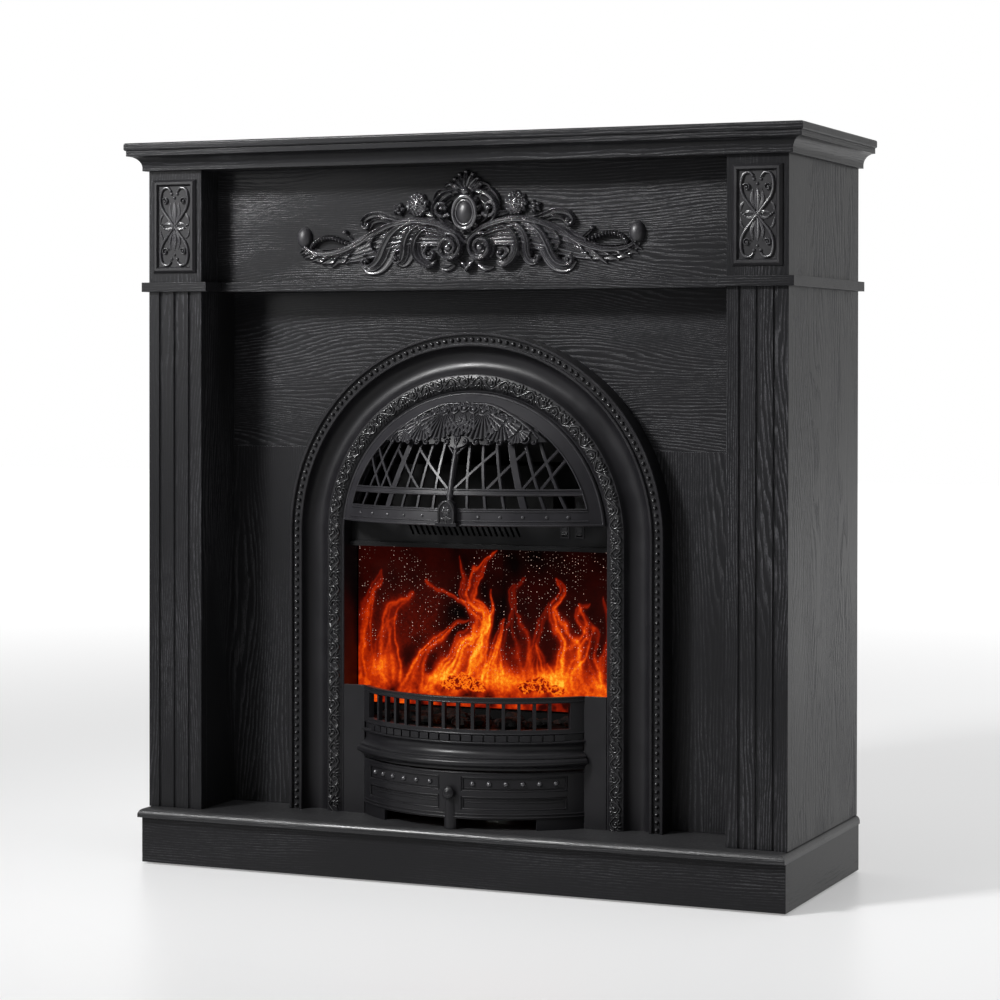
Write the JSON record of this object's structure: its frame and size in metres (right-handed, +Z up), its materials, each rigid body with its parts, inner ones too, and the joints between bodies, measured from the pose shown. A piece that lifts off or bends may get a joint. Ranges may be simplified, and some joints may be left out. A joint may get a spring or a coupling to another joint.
{
  "type": "electric fireplace with mantel surround",
  "caption": "Black carved mantel surround with an arched electric fireplace insert, domed lattice hood, bow-front grate, flame screen, fan heater and rocker switches.",
  "frame": {"origin": "on the floor, under the centre of the bounding box", "axes": "+Z up, -Y is the front with the fire, +X to the viewer's right when facing the front"},
  "size_m": [1.13, 0.4, 1.155],
  "materials": {
    "black_wood": "black lacquered board with an open, brushed grain that shows grey",
    "carved_resin": "black carved onlay, semi-gloss",
    "cast_black": "satin black with the look of cast iron",
    "raw_timber": "sawn softwood, inside only",
    "glide_plastic": "black, dull",
    "heater_plastic": "black, fine texture",
    "switch_plastic": "black, glossy",
    "sheet_black": "black powder coat",
    "flame_glass": "dark screen lit from behind by the flame picture",
    "fin_aluminium": "bare",
    "motor_steel": "zinc plated",
    "spindle_bright": "bright strips",
    "board_green": "solder resist"
  },
  "bodies": {
    "fireplace": {"arch_frame": "cast_black", "ashpan_cover": "cast_black", "ashpan_knob": "cast_black", "band_cap_left": "black_wood", "band_cap_right": "black_wood", "band_centre": "black_wood", "blower_motor": "motor_steel", "cable_gland": "glide_plastic", "carcass_battens": "raw_timber", "cheek_left": "black_wood", "cheek_right": "black_wood", "control_board": "board_green", "control_fascia": "heater_plastic", "cornice_front": "black_wood", "cornice_left": "black_wood", "cornice_right": "black_wood", "ember_tray": "heater_plastic", "firebox_shell": "sheet_black", "flame_screen": "flame_glass", "floor_glides": "glide_plastic", "frieze_block_left": "black_wood", "frieze_block_right": "black_wood", "frieze_board": "black_wood", "frieze_ornament": "carved_resin", "grate_front": "cast_black", "grate_moulding": "cast_black", "grate_plate_left": "cast_black", "grate_plate_right": "cast_black", "hearth_board": "black_wood", "heater_housing": "sheet_black", "hood": "cast_black", "hood_fan": "cast_black", "hood_handle": "cast_black", "insert_screws": "motor_steel", "led_board": "board_green", "lower_back_left": "black_wood", "lower_back_right": "black_wood", "mantel_top": "black_wood", "pilaster_left": "black_wood", "pilaster_right": "black_wood", "plinth_front": "black_wood", "plinth_left": "black_wood", "plinth_right": "black_wood", "ptc_element": "fin_aluminium", "rear_cover": "sheet_black", "rosette_left": "carved_resin", "rosette_right": "carved_resin", "screen_frame": "sheet_black", "side_left": "black_wood", "side_right": "black_wood", "spindle_motor": "motor_steel", "sub_top": "black_wood", "switch_bodies": "switch_plastic", "thermal_cutout": "motor_steel", "upper_back_panel": "black_wood"},
    "heat_switch": {"rocker_heat": "switch_plastic"},
    "flame_switch": {"rocker_flame": "switch_plastic"},
    "blower": {"blower_wheel": "fin_aluminium"},
    "spindle": {"flame_spindle": "spindle_bright"}
  },
  "joints": [
    {"name": "heat_switch_tilt", "type": "hinge", "parent": "fireplace", "child": "heat_switch", "pos_m": [0.146, -0.069, 0.543], "axis": [1, 0, 0], "range_deg": [0, 16]},
    {"name": "flame_switch_tilt", "type": "hinge", "parent": "fireplace", "child": "flame_switch", "pos_m": [0.17, -0.069, 0.543], "axis": [1, 0, 0], "range_deg": [0, 16]},
    {"name": "blower_spin", "type": "hinge", "parent": "fireplace", "child": "blower", "pos_m": [-0.0125, 0.041, 0.584], "axis": [1, 0, 0], "continuous": true},
    {"name": "spindle_spin", "type": "hinge", "parent": "fireplace", "child": "spindle", "pos_m": [0, 0.02, 0.18], "axis": [1, 0, 0], "continuous": true}
  ]
}
